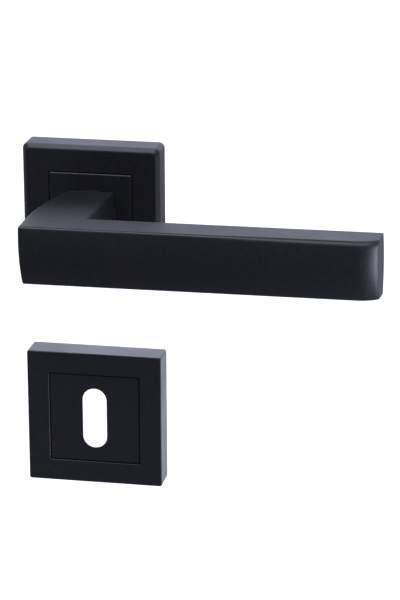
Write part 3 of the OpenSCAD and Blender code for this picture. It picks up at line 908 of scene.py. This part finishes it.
def spring_path():
    """Points along the wire with the heading of its outer side, in degrees."""
    finish = SPRING_START - 360 * SPRING_TURNS
    rear = Vector((0, SPRING_REAR, 0))
    front = Vector((0, SPRING_REAR - SPRING_PITCH * SPRING_TURNS, 0))
    bend_middle = SPRING_RADIUS + SPRING_BEND
    rear_side = SPRING_START - 90
    path = [(LEG_END * outward(SPRING_START) - SPRING_BEND * onward(SPRING_START) + rear, rear_side)]
    for angle in BEND_ANGLES:
        turn = math.radians(angle)
        point = (bend_middle - SPRING_BEND * math.sin(turn)) * outward(SPRING_START)
        path.append((point - SPRING_BEND * math.cos(turn) * onward(SPRING_START) + rear, rear_side + angle))
    for k in range(1, COIL_STEPS):
        angle = SPRING_START - 360 * SPRING_TURNS * k / COIL_STEPS
        y = SPRING_REAR - SPRING_PITCH * SPRING_TURNS * k / COIL_STEPS
        path.append((SPRING_RADIUS * outward(angle) + Vector((0, y, 0)), angle))
    for angle in BEND_ANGLES:
        turn = math.radians(angle)
        point = (bend_middle - SPRING_BEND * math.cos(turn)) * outward(finish)
        path.append((point + SPRING_BEND * math.sin(turn) * onward(finish) + front, finish + angle))
    path.append((LEG_END * outward(finish) + SPRING_BEND * onward(finish) + front, finish + 90))
    return path


def return_spring():
    """The wire follows the trim at its rear leg and the lever at its front leg, and winds evenly between."""
    rings = []
    path = spring_path()
    for point, heading in path:
        side = outward(heading)
        section = circle_points(WIRE_RADIUS, WIRE_SIDES)
        rings.append([tuple(point + side * a + Vector((0, b, 0))) for a, b in section])
    spring = loft("return_spring_wire", rings)
    crisp_shading(spring)
    spring.data.materials.append(MATERIALS["spring_steel"])
    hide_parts("return_spring")
    places = [point * MM for point, _ in path]
    rear, front = places[0], places[-1]
    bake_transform(spring, "trim", "lever", start=(0, rear.y, 0), end=(0, front.y, 0))
    shares = spring.data.attributes["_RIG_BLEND"].data
    for vertex, share in zip(spring.data.vertices, shares):
        nearest = min(range(len(places)), key=lambda k: (places[k] - vertex.co).length_squared)
        share.value = held((nearest - LEG_POINTS) / (len(places) - 2 * LEG_POINTS - 1))


# Build

# Widths and heights of the holes in the roses
NECK_HOLE, KEYHOLE = (18.2, 18.2), (9.0, 23.0)
KEY_COVER_HOLE = (12.0, 26.0)

lever_handle()
rose_cover("lever_rose_shell", "lever_rose_cover", "lever_rose_insert",
           bevel=(1.55, 1.1), corner=2.0, corner_front=1.5, hole=NECK_HOLE)
rose_cover("key_rose_shell", "key_rose_cover", "key_rose_insert",
           bevel=(0.28, 0.35), corner=0.8, corner_front=0.8, hole=KEY_COVER_HOLE)
rose_insert("lever_rose_plate", "lever_rose_insert", hole=NECK_HOLE, lip=0.05)
rose_insert("key_rose_plate", "key_rose_insert", hole=KEYHOLE, lip=0.16)
wood_screws("lever_rose_screws", "lever_wood_screws")
wood_screws("key_rose_screws", "key_wood_screws")
bolt_sleeves("lever_rose_sleeves", "lever_bolt_sleeves", upright=True)
bolt_sleeves("key_rose_sleeves", "key_bolt_sleeves", upright=False)
return_spring()

# CAD nodes that stay visible get their slot's material and slightly rounded edges
SLOTS = {part["node"]: part["material_slot"] for part in frame["record"]["subparts"]}
EDGE_SIZES = {"spindle": 0.5, "grub_screw": 0.3, "lever_rose_base": 0.3, "key_rose_base": 0.3}
SMALL_EDGE, EDGE_ANGLE = 0.08, math.radians(40)
WELD_DISTANCE = 1e-6
for name, slot in SLOTS.items():
    node = frame["nodes"][name]
    if node.hide_render:
        continue
    node.data.materials.clear()
    node.data.materials.append(MATERIALS[slot])
    weld = node.modifiers.new("weld", "WELD")
    weld.merge_threshold = WELD_DISTANCE
    bevel = node.modifiers.new("edges", "BEVEL")
    bevel.width = EDGE_SIZES.get(name, SMALL_EDGE) * MM
    bevel.segments = 2
    bevel.limit_method = "ANGLE"
    bevel.angle_limit = EDGE_ANGLE
    bevel.harden_normals = True


# Camera

CAMERA_TARGET = Vector((0.03752, 0, -0.03344))
CAMERA_AZIMUTH, CAMERA_ELEVATION, CAMERA_ROLL = math.radians(11.02), math.radians(17.96), math.radians(-0.23)
CAMERA_DISTANCE = 0.9625
CAMERA_LENS, SENSOR_SIZE = 159.35, 36


def aim_camera():
    back = Vector((
        math.sin(CAMERA_AZIMUTH) * math.cos(CAMERA_ELEVATION),
        -math.cos(CAMERA_AZIMUTH) * math.cos(CAMERA_ELEVATION),
        math.sin(CAMERA_ELEVATION),
    ))
    data = bpy.data.cameras.new("camera")
    data.lens = CAMERA_LENS
    data.sensor_width = SENSOR_SIZE
    camera = bpy.data.objects.new("camera", data)
    bpy.context.scene.collection.objects.link(camera)
    camera.location = CAMERA_TARGET + back * CAMERA_DISTANCE
    camera.rotation_mode = "QUATERNION"
    turn = (-back).to_track_quat("-Z", "Y")
    turn.rotate(Quaternion(back, CAMERA_ROLL))
    camera.rotation_quaternion = turn
    bpy.context.scene.camera = camera


# Studio

# Brightness round the object, in degrees: 0 is the rear horizon, 90 overhead, 180 the front horizon
WORLD_LEVELS = [(-180, 0.27), (-150, 0.30), (-100, 0.38), (-40, 0.40), (-12, 0.50), (8, 1.52), (32, 1.68),
                (56, 0.30), (80, 0.15), (96, 1.00), (130, 1.00), (160, 0.27)]
WORLD_TINT = (0.94, 0.97, 1.20)
# The floor from its middle outward, as radius and rise in metres, and its height
FLOOR_PROFILE = [(0.0001, 0), (0.4, 0), (1, 0), (2.5, 0), (4.5, 0), (5.6, 0.1), (6.5, 0.45), (7.2, 1.1),
                 (7.6, 2.0), (7.7, 4.5)]
FLOOR_HEIGHT, FLOOR_SIDES = -0.6, 64
SUN_STRENGTH, SUN_SPREAD, SUN_DIRECTION = 2.2, math.radians(50), (0.25, -0.35, 1.0)
PANEL_COLOUR = (0.78, 0.83, 1.0)


def studio_world():
    """Soft light that changes with height, brightest behind the object."""
    world = bpy.data.worlds.new("studio")
    bpy.context.scene.world = world
    world.use_nodes = True
    tree = world.node_tree
    direction = tree.nodes.new("ShaderNodeTexCoord").outputs["Generated"]
    split = tree.nodes.new("ShaderNodeSeparateXYZ")
    tree.links.new(direction, split.inputs[0])
    turn = tree.nodes.new("ShaderNodeMath")
    turn.operation = "ARCTAN2"
    tree.links.new(split.outputs["Z"], turn.inputs[0])
    tree.links.new(split.outputs["Y"], turn.inputs[1])
    part = tree.nodes.new("ShaderNodeMapRange")
    part.inputs["From Min"].default_value = -math.pi
    part.inputs["From Max"].default_value = math.pi
    tree.links.new(turn.outputs[0], part.inputs["Value"])
    ramp = tree.nodes.new("ShaderNodeValToRGB")
    elements = ramp.color_ramp.elements
    while len(elements) < len(WORLD_LEVELS):
        elements.new(0.5)
    for element, (angle, level) in zip(elements, WORLD_LEVELS):
        element.position = (angle + 180) / 360
        element.color = (*[level * share for share in WORLD_TINT], 1)
    tree.links.new(part.outputs["Result"], ramp.inputs["Fac"])
    background = tree.nodes["Background"]
    tree.links.new(ramp.outputs["Color"], background.inputs["Color"])


def studio_floor():
    """A pale floor that curves up into a wall far off; it neither lights nor shades the object."""
    rings = [[(x / MM, y / MM, (FLOOR_HEIGHT + rise) / MM) for x, y in circle_points(radius, FLOOR_SIDES)]
             for radius, rise in FLOOR_PROFILE]
    floor = loft("studio_floor", rings, cap_ends=False)
    s = Shader("pale_floor")
    tone = s.ramp(s.noise(3, 3), [(0.3, (0.90, 0.90, 0.90)), (0.7, (0.93, 0.93, 0.93))])
    s.link(tone, s.surface.inputs["Base Color"])
    s.set(Roughness=0.9, Specular_IOR_Level=0.0)
    floor.data.materials.append(s.material)
    floor.visible_glossy = False
    floor.visible_diffuse = False
    floor.visible_shadow = False


def add_light(name, kind, strength, direction, place=(0, 0, 0)):
    """A light that shines from the given direction."""
    data = bpy.data.lights.new(name, kind)
    data.energy = strength
    light = bpy.data.objects.new(name, data)
    bpy.context.scene.collection.objects.link(light)
    light.location = place
    light.rotation_mode = "QUATERNION"
    light.rotation_quaternion = Vector(direction).normalized().to_track_quat("Z", "Y")
    return light


def softbox(name, aim, direction, distance, size, watts, pieces):
    """A soft panel that shines on the given pieces only."""
    place = Vector(aim) + Vector(direction).normalized() * distance
    light = add_light(name, "AREA", watts, direction, place)
    light.data.shape = "RECTANGLE"
    light.data.size, light.data.size_y = size
    light.data.color = PANEL_COLOUR
    light.visible_camera = False
    lit = bpy.data.collections.new(name + "_lit")
    for piece in pieces:
        lit.objects.link(bpy.data.objects[piece])
    light.light_linking.receiver_collection = lit


GRIP_END, GRIP_MIDDLE = (0.105, -0.055, -0.002), (0.0, -0.06, 0.01)
LEVER_ROSE_TOP, LEVER_ROSE_SIDE = (0.0, -0.01, 0.0), (0.025, -0.01, -0.03)
KEY_ROSE, KEY_ROSE_SIDE = (0.0, -0.01, -0.078), (0.025, -0.01, -0.078)
ABOVE, FROM_RIGHT = (-0.18, 0.15, 0.97), (1.0, -0.05, -0.32)
HANDLE = ["lever_handle_shell"]
LEVER_ROSE = ["lever_rose_shell", "lever_rose_plate"]
KEY_UNIT = ["key_rose_shell", "key_rose_plate"]

aim_camera()
studio_world()
studio_floor()
add_light("soft_sun", "SUN", SUN_STRENGTH, SUN_DIRECTION).data.angle = SUN_SPREAD
softbox("grip_top_box", GRIP_MIDDLE, (-0.18, -0.30, 0.94), 0.45, (0.14, 0.14), 1.5, HANDLE)
softbox("rose_top_box", LEVER_ROSE_TOP, ABOVE, 1.0, (1.2, 1.2), 20.0, LEVER_ROSE + KEY_UNIT)
softbox("grip_side_box", GRIP_END, (0.93, -0.20, -0.31), 0.09, (0.06, 0.06), 0.2, HANDLE)
softbox("rose_side_box", LEVER_ROSE_SIDE, FROM_RIGHT, 1.4, (0.8, 0.6), 5.0, LEVER_ROSE[:1])
softbox("key_side_box", KEY_ROSE_SIDE, FROM_RIGHT, 1.4, (0.8, 0.6), 20.0, KEY_UNIT)
softbox("key_front_box", KEY_ROSE, (-0.18, -0.93, -0.31), 1.4, (1.5, 1.5), 1.5, KEY_UNIT)
softbox("rear_box", KEY_ROSE, (0.05, 1.0, 0.0), 1.4, (1.0, 1.4), 11.0, KEY_UNIT)
bpy.context.scene.view_settings.view_transform = "Standard"
